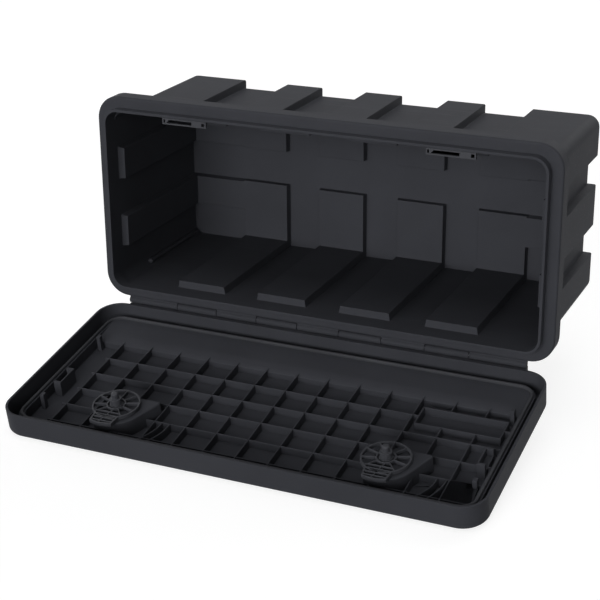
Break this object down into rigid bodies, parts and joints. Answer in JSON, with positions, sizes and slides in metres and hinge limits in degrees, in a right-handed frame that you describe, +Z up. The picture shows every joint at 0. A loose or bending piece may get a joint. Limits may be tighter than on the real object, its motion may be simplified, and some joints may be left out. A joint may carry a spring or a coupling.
{
  "type": "vehicle toolbox",
  "caption": "Plastic truck toolbox: corrugated box with a flanged front opening, a ribbed drop-down tray door on a bottom hinge and turn latches.",
  "frame": {"origin": "middle of the outer back face of the box, where it is fixed to a vehicle", "axes": "+X to the right along the front, +Y from the front to the back, +Z up; the door is shown open"},
  "size_m": [0.8, 0.6457, 0.4699],
  "materials": {
    "shell_plastic": "fine matte grain",
    "keeper_plastic": "satin",
    "latch_plastic": "satin",
    "bush_plastic": "satin",
    "seal_rubber": "matte",
    "steel": "zinc plated",
    "lock_metal": "polished"
  },
  "bodies": {
    "box": {"box_shell": "shell_plastic", "left_keeper": "keeper_plastic", "right_keeper": "keeper_plastic", "keeper_screws": "steel", "hinge_pin": "steel", "hinge_pin_plugs": "shell_plastic"},
    "door": {"door_shell": "shell_plastic", "door_seal": "seal_rubber", "left_handle_cup": "shell_plastic", "left_bush": "bush_plastic", "left_sealing_washer": "seal_rubber", "right_handle_cup": "shell_plastic", "right_bush": "bush_plastic", "right_sealing_washer": "seal_rubber"},
    "left_latch": {"left_handle": "latch_plastic", "left_spindle": "steel", "left_cam": "latch_plastic", "left_cam_nut": "latch_plastic"},
    "left_lock": {"left_lock_barrel": "lock_metal"},
    "right_latch": {"right_handle": "latch_plastic", "right_spindle": "steel", "right_cam": "latch_plastic", "right_cam_nut": "latch_plastic"},
    "right_lock": {"right_lock_barrel": "lock_metal"}
  },
  "joints": [
    {"name": "door_hinge", "type": "hinge", "parent": "box", "child": "door", "pos_m": [0, -0.2887, -0.1795], "axis": [-1, 0, 0], "range_deg": [0, 100]},
    {"name": "left_latch_turn", "type": "hinge", "parent": "door", "child": "left_latch", "pos_m": [-0.228, -0.56292, -0.23679], "axis": [0, 0.1736, -0.9848], "range_deg": [0, 90]},
    {"name": "left_lock_turn", "type": "hinge", "parent": "left_latch", "child": "left_lock", "pos_m": [-0.228, -0.55667, -0.27224], "axis": [0, 0.1736, -0.9848], "range_deg": [0, 90]},
    {"name": "right_latch_turn", "type": "hinge", "parent": "door", "child": "right_latch", "pos_m": [0.228, -0.56292, -0.23679], "axis": [0, 0.1736, -0.9848], "range_deg": [0, 90]},
    {"name": "right_lock_turn", "type": "hinge", "parent": "right_latch", "child": "right_lock", "pos_m": [0.228, -0.55667, -0.27224], "axis": [0, 0.1736, -0.9848], "range_deg": [0, 90]}
  ]
}
